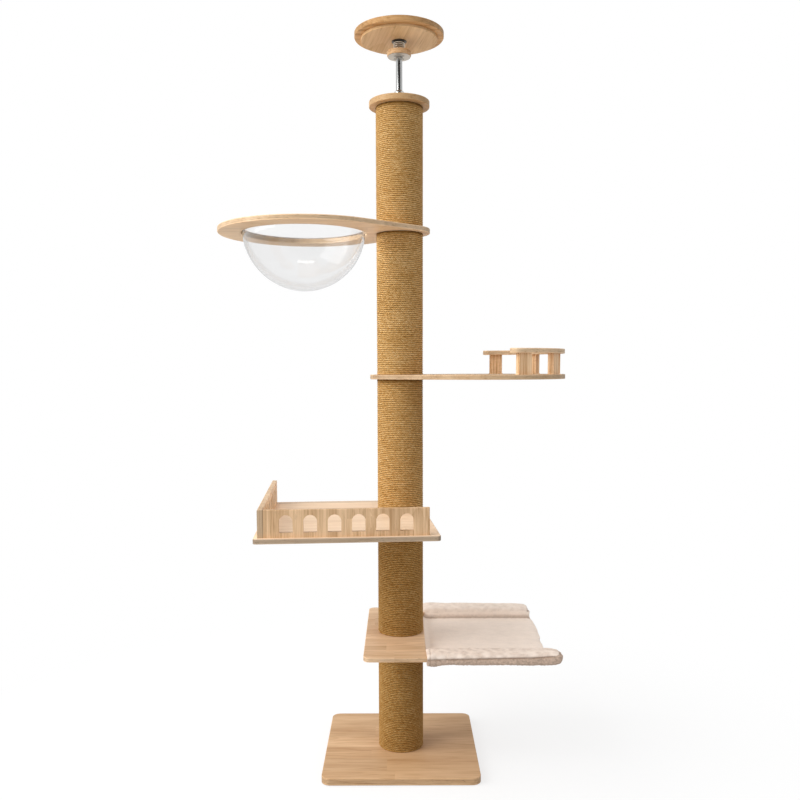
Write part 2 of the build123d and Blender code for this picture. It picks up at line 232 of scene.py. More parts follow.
def pineMaterial(name, on, light, dark, strip, plies=False, grain="X", swap=False, turn=0, joint=None,
                 specks=1.0, contrast=1.0, streak=0.3, faces=(0.0, 0.0, 0.0), rearStrip=None):
    g = Paint(name)
    opts = pineGrain
    unturned = (0, 0, -math.radians(turn))
    g.place = g.add("ShaderNodeMapping", {"Vector": g.place, "Rotation": unturned})
    x, y, z = g.parts(g.place)
    along, across, deep = {"X": (x, y, z), "Y": (y, x, z), "Z": (z, y, x) if swap else (z, x, y)}[grain]

    # glued strips, each cut from another part of the tree
    line = across / strip + 0.37
    row = line.floor()
    shift = g.add("ShaderNodeTexWhiteNoise", {"W": row}, noise_dimensions="1D")
    plank = ((along + shift * 0.6) / opts["stripLength"]).floor()
    tint = g.add("ShaderNodeTexWhiteNoise", {"Vector": g.vector(row, plank, len(name))}, out="Color")
    r1, r2, r3 = g.parts(tint)

    def fibres(long, fine, drift=0):
        return g.vector(along * long + drift, across * fine, deep * fine)

    # knots and the grain that flows round them
    gap, cell = g.cells(fibres(5, 11, r1 * 9), out=("Distance", "Color"))
    pick = g.parts(cell)[0].over(opts["knotShare"])
    knot = gap.ease(opts["knotSize"], opts["knotSize"] * 0.55) * pick
    swirl = gap.ease(0.45, 0.0) * pick * 0.012

    warp = g.noise(g.vector(along * 2.3 + r1 * 7, across * 11 + r2 * 5, deep * 11), detail=1.0) - 0.5
    offY = across + r1.swing(0.26)
    offZ = deep + r2 * 0.05 + 0.02
    radius = (offY * offY + offZ * offZ) ** 0.5 + along * 0.012 + warp * 0.030 + swirl
    ring = (radius / opts["ring"]).fract()
    late = ring ** 2.2 * ring.ease(1.0, 0.86)

    fibre = g.noise(fibres(14, 620), detail=3.0, roughness=0.65)
    dash = g.noise(fibres(9, 210, r3 * 4)).ease(0.56, 0.74)
    mottle = g.noise(fibres(4, 26))
    broad = g.noise(fibres(1.3, 7, r2 * 3), detail=1.0)
    bands = g.noise(fibres(2.2, 95, r3 * 6), roughness=0.6)
    shade = (late * opts["ringDepth"] + fibre.swing(opts["fibreDepth"]) + dash * opts["dashDepth"] - 0.04
             + mottle.swing(opts["mottleDepth"]) + broad.swing(opts["broadDepth"])
             + bands.swing(streak) * opts["bandDepth"]) * contrast + 0.40
    middle = tuple((a + b) / 2 for a, b in zip(light, dark))
    colour = g.ramp(shade, (0.10, light), (0.5, middle), (0.95, dark))
    seam = (line.fract() - 0.5).size().ease(0.488, 0.499) * opts["seamTone"]
    normal = g.add("ShaderNodeTexCoord", out="Normal")
    nx, ny, nz = g.parts(g.add("ShaderNodeMapping", {"Vector": normal, "Rotation": unturned},
                               vector_type="NORMAL"))
    cut = {"X": nx, "Y": ny, "Z": nz}[grain].size().ease(0.5, 0.9) * opts["endShade"]
    # painted highlight: paler where a flat face rolls over into an edge
    level = (nx * nx + ny * ny) ** 0.5
    edgeHighlight = 1 - g.math("MAXIMUM", level, nz.size()).ease(0.90, 0.985)
    tone = (1 + r3.swing(opts["stripContrast"])) * (1 - seam) * (1 - cut) * (1 + edgeHighlight * opts["edgeLight"])
    upright = nz.size().ease(0.6, 0.3)
    # painted light and shade: each side's tone is set by the way it faces
    tone = tone * (1 + nx.size() * faces[0] + ny.size() * faces[1] + nz.size() * faces[2])
    # painted shade on the last strip, which the fence does not shadow, while the rest of the board is painted
    # lighter
    if rearStrip:
        tone = tone * (1 - across.over(rearStrip[0]) * rearStrip[1])
    if plies:
        # three plies: the middle one shows its end grain between two glue lines
        low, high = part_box(on)
        away = ((z - low.z) / (high.z - low.z) - 0.5).size()
        core = away.ease(0.22, 0.18)
        glue = (away - 0.20).size().ease(0.05, 0.015)
        pores = g.noise(g.stretched(70, 70, 700))
        gaps = g.noise(g.stretched(26, 26, 60)).ease(0.45, 0.62)
        plyShade = core * (0.3 + pores) * opts["plyTone"] + glue * (0.35 + gaps) * opts["glueTone"]
        tone = tone * (1 - upright * plyShade)
    if joint is not None:
        # painted shade and dirt: the dark line in the gap where this board butts against the next
        tone = tone * (1 - (x - joint).size().ease(2.4 * mm, 0.8 * mm) * opts["jointTone"])
    flaw = g.noise(fibres(75, 520) if grain == "Z" else g.stretched(75, 75, 520), detail=1.0).ease(0.66, 0.76)
    tone = tone * (1 - upright * flaw * specks * opts["speckTone"])
    colour = g.blend(knot * opts["knotTone"], g.scaled(colour, tone), opts["knotColour"])
    dull = fibre * 0.14 + late * 0.06 + 0.42 + knot * 0.1
    height = fibre * 0.5 - late * 0.5 - dash * 0.5 - knot * 0.4 - seam * 2
    return g.finish(baseColor=colour, roughness=dull, normal=g.bump(height, 0.35 * mm, 0.5),
                    specularIorLevel=0.22)


for name, look in pineLooks.items():
    dress(pineMaterial(name, **look), look["on"])
print("pine: ", len(pineLooks), "looks")


# Metals. grainX and grainZ: how fine the brushing is across and along; cloud: how uneven the tone is
metalLooks = {
    "zincPlate": {"colour": (0.66, 0.66, 0.645), "rough": 0.30, "grainX": 140, "grainZ": 40, "cloud": 0.12},
    "zincScrew": {"colour": (0.42, 0.415, 0.40), "rough": 0.36, "grainX": 300, "grainZ": 300, "cloud": 0.2},
    "jackSteel": {"colour": (0.50, 0.505, 0.50), "rough": 0.22, "grainX": 90, "grainZ": 900, "cloud": 0.10},
    "flangeSteel": {"colour": (0.62, 0.57, 0.50), "rough": 0.5, "grainX": 200, "grainZ": 80, "cloud": 0.2},
    "springSteel": {"colour": (0.62, 0.56, 0.47), "rough": 0.16, "grainX": 200, "grainZ": 500, "cloud": 0.14},
    "cupSteel": {"colour": (0.10, 0.085, 0.07), "rough": 0.42, "grainX": 160, "grainZ": 160, "cloud": 0.3},
}


def metalMaterial(name, colour, rough, grainX, grainZ, cloud):
    g = Paint(name)
    fine = g.noise(g.stretched(grainX * 6, grainX * 6, grainZ * 6))
    clouds = g.noise(g.place, scale=60.0, detail=3.0)
    tone = 1 + clouds.swing(cloud) + fine.swing(0.08)
    return g.finish(baseColor=g.scaled(colour, tone), metallic=1.0,
                    roughness=rough + fine.swing(0.16) + clouds.swing(0.10),
                    normal=g.bump(fine, 0.06 * mm, 0.5))


# The two tones of each plain finish
plainTones = {"rubber": ((0.028, 0.028, 0.029), (0.05, 0.05, 0.051)),
              "chipboard": ((0.62, 0.46, 0.30), (0.42, 0.28, 0.16)),
              "paper": ((0.44, 0.33, 0.21), (0.26, 0.18, 0.11))}
paperStrip = 0.11


def rubberMaterial():
    g = Paint("ribbedRubber")
    x, y = g.parts(g.place)[:2]
    dots = g.cells(g.vector(x, y, 0.0), scale=260.0, kind="2D")
    grain = g.noise(g.place, scale=900.0)
    return g.finish(baseColor=g.blend(dots, *plainTones["rubber"]), roughness=0.78 + grain.swing(0.2),
                    normal=g.bump(dots, 0.4 * mm, 0.6))


def plugMaterial():
    g = Paint("plugBoard")
    pale, dark = plainTones["chipboard"]
    chip = g.parts(g.cells(g.stretched(160, 160, 420), scale=5.0, out="Color"))[0]
    return g.finish(baseColor=g.ramp(chip, (0.0, pale), (1.0, dark)), roughness=0.72 + chip * 0.1,
                    normal=g.bump(chip, 0.3 * mm, 0.5))


def tubeMaterial():
    # grey board wound at a slant, with a seam between its turns
    g = Paint("woundPaper")
    x, y, z = g.parts(g.place)
    turn = g.math("ARCTAN2", y, x) / (2 * math.pi)
    joint = ((z / paperStrip + turn).fract() - 0.5).size().ease(0.485, 0.5)
    pulp = g.noise(g.place, scale=380.0, detail=3.0)
    colour = g.scaled(g.blend(joint, *plainTones["paper"]), 0.9 + pulp * 0.2)
    return g.finish(baseColor=colour, roughness=0.85 + pulp * 0.08, normal=g.bump(pulp - joint, 0.3 * mm, 0.4))


metals = {name: metalMaterial(name, **look) for name, look in metalLooks.items()}
dress(rubberMaterial(), "base_mat", "ceiling_mat")
dress(plugMaterial(), "post_plugs")
dress(tubeMaterial(), "post_core")
dress(metals["zincScrew"], "threaded_inserts", "joining_studs", "base_bolt")
dress(metals["zincPlate"], "threaded_flange", "spring_seat")
dress(metals["cupSteel"], "spring_cup")
print("metals, rubber, plugs and tubes dressed")


trees = {}


def treeFor(build, values):
    # a Geometry Nodes tree with a named input for each value; build makes its geometry
    if build not in trees:
        tree = trees[build] = bpy.data.node_groups.new(build.__name__, "GeometryNodeTree")
        for way in ("INPUT", "OUTPUT"):
            tree.interface.new_socket("Geometry", in_out=way, socket_type="NodeSocketGeometry")
        for label, value in values.items():
            kind = {float: "Float", int: "Int"}.get(type(value), type(value).__name__)
            socket = tree.interface.new_socket(label, in_out="INPUT", socket_type=f"NodeSocket{kind}")
            socket.default_value = value
        g = Graph(tree)
        start = g.add("NodeGroupInput", out=None)
        given = SimpleNamespace(**{socket.name: Wire(g, socket) for socket in start.outputs if socket.name})
        real = g.add("GeometryNodeRealizeInstances", {0: build(g, given)})
        last = g.add("GeometryNodeSetMaterial", {"Geometry": real, "Material": given.material})
        g.add("NodeGroupOutput", {0: last}, out=None)
    return trees[build]


def position(g):
    return g.parts(g.add("GeometryNodeInputPosition"))


def moved(g, geometry, x, y, z):
    return g.add("GeometryNodeSetPosition", {"Geometry": geometry, "Position": g.vector(x, y, z)})


def coilLine(g, given, radius, x, y, z):
    # flat turns of one radius, each point then moved to x, y and z
    flat = g.add("GeometryNodeCurveSpiral", {
        "Resolution": given.steps, "Rotations": given.turns, "Start Radius": radius, "End Radius": radius,
        "Height": 0.0})
    return g.add("GeometryNodeSetCurveNormal", {"Curve": moved(g, flat, x, y, z)}, mode="Z_UP")


def ring(g, given, radius):
    return g.add("GeometryNodeCurvePrimitiveCircle", {"Resolution": given.sides, "Radius": radius},
                 mode="RADIUS")


def sweep(g, curve, section):
    return g.add("GeometryNodeCurveToMesh", {"Curve": curve, "Profile Curve": section, "Fill Caps": True})


def captured(g, geometry, value):
    node = g.add("GeometryNodeCaptureAttribute", out=None)
    node.capture_items.new("FLOAT", "Value")
    g.feed(node.inputs[0], geometry)
    g.feed(node.inputs["Value"], value)
    return Wire(g, node.outputs[0]), Wire(g, node.outputs["Value"])


def stored(g, mesh, name, value, kind="FLOAT"):
    return g.add("GeometryNodeStoreNamedAttribute", {"Geometry": mesh, "Name": name, "Value": value},
                 data_type=kind, domain="POINT")


def meshObject(name, mesh, material=None):
    piece = bpy.data.objects.new(name, mesh)
    bpy.context.scene.collection.objects.link(piece)
    if material:
        mesh.materials.append(material)
    return piece


def applied(piece):
    # keeps what the modifiers made as the plain mesh
    deps = bpy.context.evaluated_depsgraph_get()
    made = piece.evaluated_get(deps)
    mesh = bpy.data.meshes.new_from_object(made, preserve_all_data_layers=True, depsgraph=deps)
    piece.modifiers.clear()
    piece.data = mesh
    return piece


def grow(name, build, source=None, **values):
    # runs build's tree on a source mesh
    tree = treeFor(build, values)
    holder = meshObject(name, source or bpy.data.meshes.new(name))
    modifier = holder.modifiers.new("grow", "NODES")
    modifier.node_group = tree
    keys = {item.name: item.identifier for item in tree.interface.items_tree
            if item.item_type == "SOCKET" and item.in_out == "INPUT"}
    for label, value in values.items():
        modifier[keys[label]] = value
    bpy.context.view_layer.update()
    return applied(holder)


def smooth(mesh):
    mesh.polygons.foreach_set("use_smooth", [True] * len(mesh.polygons))


def asMesh(name, work):
    bmesh.ops.recalc_face_normals(work, faces=work.faces)
    mesh = bpy.data.meshes.new(name)
    work.to_mesh(mesh)
    work.free()
    return mesh


def welded(node):
    # a working copy of a CAD node with its points joined
    work = bmesh.new()
    work.from_mesh(nodes[node].data)
    bmesh.ops.remove_doubles(work, verts=work.verts, dist=1e-5)
    return work


def loft(name, rings, floor=False):
    # joins rings of points, all of one count or single points; floor: closes the first ring
    work = bmesh.new()
    rings = [[work.verts.new(point) for point in points] for points in rings]
    for first, second in zip(rings, rings[1:]):
        for k in range(max(len(first), len(second))):
            corners = []
            for points, step in ((first, 0), (first, 1), (second, 1), (second, 0)):
                corner = points[(k + step) % len(points)]
                if corner not in corners:
                    corners.append(corner)
            work.faces.new(corners)
    if floor:
        work.faces.new(rings[0])
    return asMesh(name, work)


def lathe(name, profile, centre, sides):
    # profile: (radius, height) pairs, first and last on the axis or joined to each other
    rings = []
    for radius, height in profile:
        angles = [2 * math.pi * k / sides for k in range(sides if radius > 0 else 1)]
        rings.append([(centre[0] + radius * math.cos(a), centre[1] + radius * math.sin(a), height)
                      for a in angles])
    return loft(name, rings)


# Sisal winding. uneven: how far a round strays; lay: length of one twist of the strands; tones: painted shade
# and light of the five sections from the floor up, the two lowest darker for the boards' shadows, the fourth
# a little lighter; endShade: how far the painted shade below a board reaches; fibres: colours from dark to
# light, each with its place on the ramp
sisal = {"ropeRadius": 3.0 * mm, "pitch": 6.0 * mm, "stepsPerTurn": 80, "sides": 8, "uneven": 0.45 * mm,
         "lay": 17 * mm, "strands": 3, "grooveDepth": 3.4 * mm, "tones": (0.71, 0.72, 1.0, 1.06, 1.0),
         "endShade": 12 * mm,
         "fibres": ((0.0, (0.21, 0.078, 0.012)), (0.32, (0.47, 0.245, 0.064)), (0.62, (0.68, 0.416, 0.160)),
                    (1.0, (0.92, 0.69, 0.40)))}
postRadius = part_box("rope_wrap_1")[1].x


def sisalMaterial():
    g = Paint("sisalRope")
    c, s, along = g.parts(g.attribute("ropeMap", out="Vector"))
    # painted shade and light: each section's tone and the shade below each board
    tone = g.attribute("ropeTone")
    x, y = g.parts(g.place)[:2]
    around = g.math("ARCTAN2", s, c)
    phase = around * sisal["strands"] / (2 * math.pi) + along / sisal["lay"] * sisal["strands"]
    strand = (phase.fract() - 0.5).size() * 2
    hill = 1 - strand * strand * strand
    each = g.add("ShaderNodeTexWhiteNoise", {"Vector": g.vector(phase.floor(), (along * 40).floor(), 0.0)},
                 noise_dimensions="2D")
    # fibres run at a slant along the strands
    fibre = g.noise(g.vector(along * 260 + around * 1.2, phase * 5, around * 2.5), detail=3.0, roughness=0.7)
    hairs = g.noise(g.stretched(420, 420, 900), roughness=0.65)
    fleck = g.noise(g.stretched(130, 130, 330), roughness=0.6)
    patches = g.noise(g.stretched(9, 9, 22), detail=3.0, roughness=0.55)
    out = ((x * x + y * y) ** 0.5).ease(postRadius - sisal["grooveDepth"], postRadius - 0.4 * mm)
    shade = (patches.swing(0.22) + fibre.swing(0.7) + hairs.swing(0.7) + fleck.swing(0.75)
             + each.swing(0.28) + 0.5)
    colour = g.ramp(shade, *sisal["fibres"])
    # painted shade: darker in the grooves between the turns and between the strands
    colour = g.scaled(colour, (0.50 + out * 0.50) * (0.62 + hill * 0.38) * tone)
    # the lengths painted darker are painted warmer too, the one painted lighter a little cooler
    colour = g.times(colour, g.vector(1.0, tone * 0.25 + 0.75, tone * 0.8 + 0.2))
    return g.finish(baseColor=colour, roughness=0.82 + fibre.swing(0.2), specularIorLevel=0.15,
                    normal=g.bump(hill * 0.9 + fibre * 0.3 + hairs * 0.25, 0.7 * mm, 0.9))


def sisalWinding(g, given):
    thick = given.ropeRadius
    middle = given.postRadius - thick
    share, length = g.add("GeometryNodeSplineParameter", out=("Factor", "Length"))
    px, py = position(g)[:2]
    # the first and last turns lie flat against the boards
    rise = g.clamp((share * given.turns - 1) / (given.turns - 2))
    jitter = g.noise(g.vector(px * 30, py * 30, share * given.turns * 0.37 + given.seed * 17))
    wander = g.noise(g.vector(px * 18, py * 18, share * given.turns * 0.9 + given.seed * 5), detail=1.0)
    calm = g.clamp(rise * (1 - rise) * 60)
    stray = wander.swing(given.uneven) * 2 * calm
    height = given.bottom + thick + rise * (given.height - thick * 2) + stray
    swell = 1 + (jitter - 0.75) * given.uneven / middle
    rope, along = captured(g, coilLine(g, given, middle, px * swell, py * swell, height), length)
    section, around = captured(g, ring(g, given, thick), share)
    angle = around * (2 * math.pi)
    ropeMap = g.vector(angle.cos(), angle.sin(), along)
    mesh = stored(g, sweep(g, rope, section), "ropeMap", ropeMap, "FLOAT_VECTOR")
    # painted shade where it meets the board above
    clear = g.clamp((given.bottom + given.height - position(g)[2]) / given.endShade)
    return stored(g, mesh, "ropeTone", given.tone * (0.2 + clear * 0.8))


sisalRope = sisalMaterial()
for n, tone in enumerate(sisal["tones"], 1):
    low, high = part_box(f"rope_wrap_{n}")
    tall = high.z - low.z
    wrap = grow(f"sisal_winding_{n}", sisalWinding, bottom=low.z, height=tall,
                turns=round((tall - 2 * sisal["ropeRadius"]) / sisal["pitch"]) + 2.0, postRadius=postRadius,
                ropeRadius=sisal["ropeRadius"], steps=sisal["stepsPerTurn"], sides=sisal["sides"],
                uneven=sisal["uneven"], seed=float(n), tone=tone, endShade=sisal["endShade"],
                material=sisalRope)
    smooth(wrap.data)
    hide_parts(f"rope_wrap_{n}")
    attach(wrap, "root")
    print("sisal winding", n, len(wrap.data.polygons), "faces")


# Plush sling. frontTop, rearTop and inner: how fluffy the sleeves are, inner also how much painted shade
# darkens the rear sleeve's inner side; cap: how far the cloth may swell; tip: the rounded ends of the sleeves;
# left: the edge at the board; bed: between the sleeves; hem: the bed's edge at the board; wave, pile and tuft:
# unevenness, each with a scale and a height; hemmed: how much of it is left at the bed's hem; rearInner and
# innerTop: where the rear sleeve's inner side is fluffy and painted darker, as shade in the crease by the bed
plushLook = {"top": (0.965, 0.84, 0.74), "fluff": (0.62, 0.465, 0.365), "crease": (0.30, 0.20, 0.14),
             "sheen": (1.0, 0.86, 0.76, 1), "frontTop": 0.46, "rearTop": 0.24, "inner": 0.4}
sling = {"armWide": 55 * mm, "sleeveWall": 9 * mm, "voxel": 5.0 * mm, "pressure": 5.0, "frames": 20,
         "cap": 3.5 * mm, "easing": 8, "touch": 2.6 * mm,
         "tipLong": 30 * mm, "tipRound": 0.66, "tipPush": 7 * mm, "tipCut": 14.4 * mm,
         "leftReach": 5 * mm, "leftLift": 16 * mm, "leftWide": 16 * mm, "droop": 6 * mm, "droopWide": 22 * mm,
         "rearPuff": 7 * mm, "rearSag": 7 * mm, "sagAt": 0.195, "sagWide": 30 * mm, "bedSkew": 12 * mm,
         "skewHalf": 0.2, "bedBelly": 14 * mm, "bellyAt": -0.05, "bellyHalf": 0.26, "bedFade": 90 * mm,
         "boardEnd": 78 * mm, "hemGap": 0.3 * mm, "hemStrip": 8 * mm, "hemFade": 24 * mm, "hemAt": 9 * mm,
         "hemmed": 0.35, "seamHeight": 0.4165, "seamRise": 8 * mm, "endRise": 6 * mm, "seamDepth": 3.0 * mm,
         "seamWide": 3.2 * mm, "stitchDepth": 1.6 * mm, "pucker": 0.8 * mm, "waveScale": 16,
         "waveTall": 1.2 * mm, "pileScale": 55, "pileTall": 0.6 * mm, "tuftScale": 190, "tuftTall": 0.3 * mm,
         "tuftFluff": 1.5 * mm, "rearInner": (0.198, 0.232), "innerTop": 0.414}
# from and run: the shares of the sleeve's length where the seam begins and that it covers
stitchLook = {"pitch": 5.0 * mm, "long": 3.4 * mm, "thick": 0.7 * mm, "from": 0.03, "run": 0.945,
              "proud": 0.2 * mm, "thread": ((0.20, 0.12, 0.08), (0.36, 0.25, 0.18))}


def plushMaterial():
    g = Paint("plushFabric")
    fluff, seam = g.attribute("fluff"), g.attribute("crease")
    lay = g.noise(g.stretched(22, 30, 22))
    pile = g.noise(g.place, scale=520.0, detail=3.0, roughness=0.7)
    tuft = g.noise(g.place, scale=150.0, detail=4.0, roughness=0.62)
    curl = g.cells(g.place, scale=230.0)
    patch = g.noise(g.stretched(60, 90, 60), detail=3.0, roughness=0.6)
    tone = (1 + lay.swing(0.14) + pile.swing(0.14) + patch.swing(0.14 + fluff * 0.5)
            + tuft.swing(0.08 + fluff * 0.8) - curl * fluff * 0.22)
    colour = g.scaled(g.blend(fluff, plushLook["top"], plushLook["fluff"]), tone)
    height = pile * 0.35 + tuft * (0.3 + fluff * 1.4) - curl * fluff
    # painted shade in the creases along the seams and the hem
    return g.finish(baseColor=g.blend(seam * 0.8, colour, plushLook["crease"]),
                    roughness=0.92 + pile.swing(0.1), normal=g.bump(height, 1.6 * mm, 0.55), sheenWeight=0.3,
                    sheenRoughness=0.45, sheenTint=plushLook["sheen"], specularIorLevel=0.2)


def gauss(distance, wide):
    return math.exp(-(distance / wide) ** 2)


def fade(value, reach):
    # climbs from 0 to 1 while value goes from 0 to reach
    return min(1.0, max(0.0, value / reach))


armLow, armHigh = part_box("hammock_board")
slingLow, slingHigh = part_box("hammock_sling")
armInner = armHigh.y - sling["armWide"]
bedEdge = armInner - 9 * mm
slingMesh = asMesh("plushSling", welded("hammock_sling"))
rearEnd = max(vertex.co.x for vertex in slingMesh.vertices if vertex.co.y > armHigh.y)
slingPiece = meshObject("plush_sling", slingMesh)
remesh = slingPiece.modifiers.new("remesh", "REMESH")
remesh.mode = "VOXEL"
remesh.voxel_size = sling["voxel"]
remesh.adaptivity = 0
applied(slingPiece)
rest = [vertex.co.copy() for vertex in slingPiece.data.vertices]


def sleeveEnd(side):
    # the far end of the sleeve, from the post: the rear one is shorter
    return rearEnd if side > 0 else slingHigh.x


def nearArm(point, gap):
    # inside the pocket, where the fabric lies on the board
    inY = armInner - gap < abs(point.y) < armHigh.y + gap
    inZ = armLow.z - gap < point.z < armHigh.z + gap
    return inY and inZ and point.x < sleeveEnd(point.y) - sling["sleeveWall"] + gap


def inflate(piece):
    # a short cloth run with some air in it, held where it lies on the arms
    pins = piece.vertex_groups.new(name="pins")
    pins.add([i for i, point in enumerate(rest) if nearArm(point, 2.5 * mm)], 1.0, "REPLACE")
    cloth = piece.modifiers.new("cloth", "CLOTH")
    cloth.settings.use_pressure = True
    cloth.settings.uniform_pressure_force = sling["pressure"]
    cloth.settings.effector_weights.gravity = 0
    cloth.settings.vertex_group_mass = "pins"
    cloth.settings.quality = 5
    cloth.point_cache.frame_start = 1
    cloth.point_cache.frame_end = sling["frames"]
    for step in range(1, sling["frames"] + 1):
        bpy.context.scene.frame_set(step)
    applied(piece)
    bpy.context.scene.frame_set(1)
    for vertex, start in zip(piece.data.vertices, rest):
        move = vertex.co - start
        if move.length > sling["cap"]:
            vertex.co = start + move * (sling["cap"] / move.length)
    piece.vertex_groups.clear()


inflate(slingPiece)
print("sling: remeshed to", len(rest), "points")

finer = slingPiece.modifiers.new("smooth", "SUBSURF")
finer.levels = finer.render_levels = 1
applied(slingPiece)


def seamLevel(x):
    # the side seams climb a little towards the tips
    run = (x - slingLow.x) / (slingHigh.x - slingLow.x)
    return sling["seamHeight"] + (run - 0.5) * sling["seamRise"] + sling["endRise"] * max(0, run * 4 - 3) ** 2


def drape(point):
    # how the sewn shape hangs: rounded tips, a raised hem at the board and slack in the rear sleeve
    x, y, z = point
    side = 1 if y > 0 else -1
    middleY, middleZ = side * (armHigh.y - sling["armWide"] / 2), (armLow.z + armHigh.z) / 2
    end = sleeveEnd(y)
    # foot: how far into the bed; outside: how far off the board inside the sleeve
    foot = armInner - 6 * mm - abs(y)
    outside = max(abs(z - middleZ) - 9 * mm, abs(abs(y) - abs(middleY)) - sling["armWide"] / 2 - 1.5 * mm,
                  x - end + 8 * mm)
    bed, loose = fade(foot, 6 * mm), fade(outside, 4 * mm)
    sleeve = loose * (1 - bed)
    tip = fade(x - end + sling["tipLong"], sling["tipLong"]) * sleeve
    if tip > 0:
        shrink = math.sqrt(1 - (sling["tipRound"] * tip) ** 2)
        y, z = middleY + (y - middleY) * shrink, middleZ + (z - middleZ) * shrink
        below = fade(middleZ + 4 * mm - z, 18 * mm) * fade(outside, 9 * mm)
        x += tip * tip * (sling["tipPush"] - sling["tipCut"] * below)
    left = 1 - fade(x - slingLow.x, sling["leftWide"])
    x -= left * sling["leftReach"] * sleeve
    z += left ** 1.5 * sling["leftLift"] * bed
    belly = sling["bedBelly"] * (1 - ((y - sling["bellyAt"]) / sling["bellyHalf"]) ** 2)
    spread = fade(foot + 12 * mm, 24 * mm) * fade(x - end + sling["bedFade"], sling["bedFade"])
    x += ((y / sling["skewHalf"]) * sling["bedSkew"] + belly) * spread
    if side < 0:
        corner = gauss(x - slingLow.x - 10 * mm, sling["droopWide"]) * sleeve
        z -= sling["droop"] * corner * fade(middleZ + 8 * mm - z, 12 * mm)
    else:
        far = 0.1 + 0.9 * fade(-foot, 45 * mm)
        z += sling["rearPuff"] * far * sleeve * fade(z - middleZ, 12 * mm)
        z -= sling["rearSag"] * gauss(abs(y) - sling["sagAt"], sling["sagWide"]) * bed
    return Vector((x, y, z))


def eased(mesh, rounds):
    # lets the cloth relax, except where it lies on the arms
    work = bmesh.new()
    work.from_mesh(mesh)
    free = [vertex for vertex in work.verts if not nearArm(vertex.co, sling["touch"])]
    for turn in range(rounds):
        bmesh.ops.smooth_vert(work, verts=free, factor=0.5, use_axis_x=True, use_axis_y=True, use_axis_z=True)
    work.to_mesh(mesh)
    work.free()


def tuckHem(mesh):
    # brings the bed's hem back to the board's edge, strip by strip
    bed = [vertex for vertex in mesh.vertices if abs(vertex.co.y) < armInner]
    strips = [round(vertex.co.y / sling["hemStrip"]) for vertex in bed]
    starts = {}
    for vertex, strip in zip(bed, strips):
        starts[strip] = min(starts.get(strip, 1.0), vertex.co.x)
    for vertex, strip in zip(bed, strips):
        back = max(0.0, starts[strip] - sling["boardEnd"] - sling["hemGap"])
        vertex.co.x -= back * (1 - fade(vertex.co.x - starts[strip], sling["hemFade"]))


def seamsAt(point, normal):
    # how near a point is to the side seam, the seam beside the bed and the front sleeve's hem
    side = abs(point.y)
    edge = side > armHigh.y + 2 * mm or point.x > sleeveEnd(point.y) - 4 * mm
    seam = gauss(point.z - seamLevel(point.x), sling["seamWide"]) if edge and side >= bedEdge else 0.0
    flat = abs(normal.z) > 0.2 and point.z < armHigh.z - 4 * mm
    channel = gauss(side - bedEdge + 7 * mm, sling["seamWide"]) if flat else 0.0
    hem = gauss(point.x - slingLow.x - sling["hemAt"], 1.8 * mm) if point.y < -bedEdge - 14 * mm else 0.0
    return seam, channel, hem


def fluffAt(point, normal):
    # 1 on the long pile below the side seam, less on the sleeves; on the rear sleeve's inner side it is
    # fluffier and painted darker, as shade in the crease by the bed
    side, end = abs(point.y), sleeveEnd(point.y)
    front, inBed = point.y < 0, side < bedEdge
    outer = not inBed and (side > armHigh.y - sling["armWide"] / 2 and point.x < end
                           or front and point.x > end - 4 * mm)
    if point.z < seamLevel(point.x) - 1 * mm and (normal.z < -0.3 or outer):
        return 1.0
    low, high = sling["rearInner"]
    # painted shade: the rear sleeve's inner side darker towards the bed
    inward = low < point.y < high and normal.y < -0.3
    fluff = plushLook["inner"] * fade(sling["innerTop"] - point.z, 8 * mm) if inward else 0.0
    if fluff == 0.0 and not inBed:
        fluff = plushLook["frontTop" if front else "rearTop"] * fade(noise.noise(point * 60) + 0.5, 1)
    return fluff


def nap(mesh):
    # pinched seams and soft pile, which the material knows by fluff and by the painted shade in the creases
    normals = [vertex.normal.copy() for vertex in mesh.vertices]
    fluffs, creaseShades = [], []
    for vertex, normal in zip(mesh.vertices, normals):
        point = vertex.co.copy()
        seam, channel, hem = seamsAt(point, normal)
        fluff = fluffAt(point, normal)
        fluffs.append(fluff)
        if nearArm(point, sling["touch"]):
            creaseShades.append(0.0)
            continue
        creaseShades.append(min(1.0, seam + channel * 0.6 + hem * 0.7))
        hemmed = sling["hemmed"] if abs(point.y) < bedEdge and abs(normal.z) < 0.6 else 1.0
        wave = noise.fractal(point * sling["waveScale"], 1.0, 2.0, 2) * sling["waveTall"]
        pile = noise.fractal(point * sling["pileScale"], 1.0, 2.0, 3) * sling["pileTall"]
        tuft = noise.fractal(point * sling["tuftScale"] + Vector((3, 1, 7)), 0.8, 2.1, 3)
        pile += tuft * (sling["tuftTall"] + fluff * sling["tuftFluff"])
        pucker = sling["pucker"] * math.sin(point.x * 310 + 3 * math.sin(point.x * 41)) * max(seam, channel)
        deep = seam * sling["seamDepth"] + (channel + hem) * sling["stitchDepth"]
        vertex.co = point + normal * ((wave + pile) * hemmed + pucker - deep)
    for name, values in (("fluff", fluffs), ("crease", creaseShades)):
        mesh.attributes.new(name, "FLOAT", "POINT").data.foreach_set("value", values)


for vertex in slingPiece.data.vertices:
    vertex.co = drape(vertex.co)
eased(slingPiece.data, sling["easing"])
tuckHem(slingPiece.data)
slingPiece.data.update()
nap(slingPiece.data)
slingPiece.data.materials.append(plushMaterial())
smooth(slingPiece.data)
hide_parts("hammock_sling")
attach(slingPiece, "hammock")


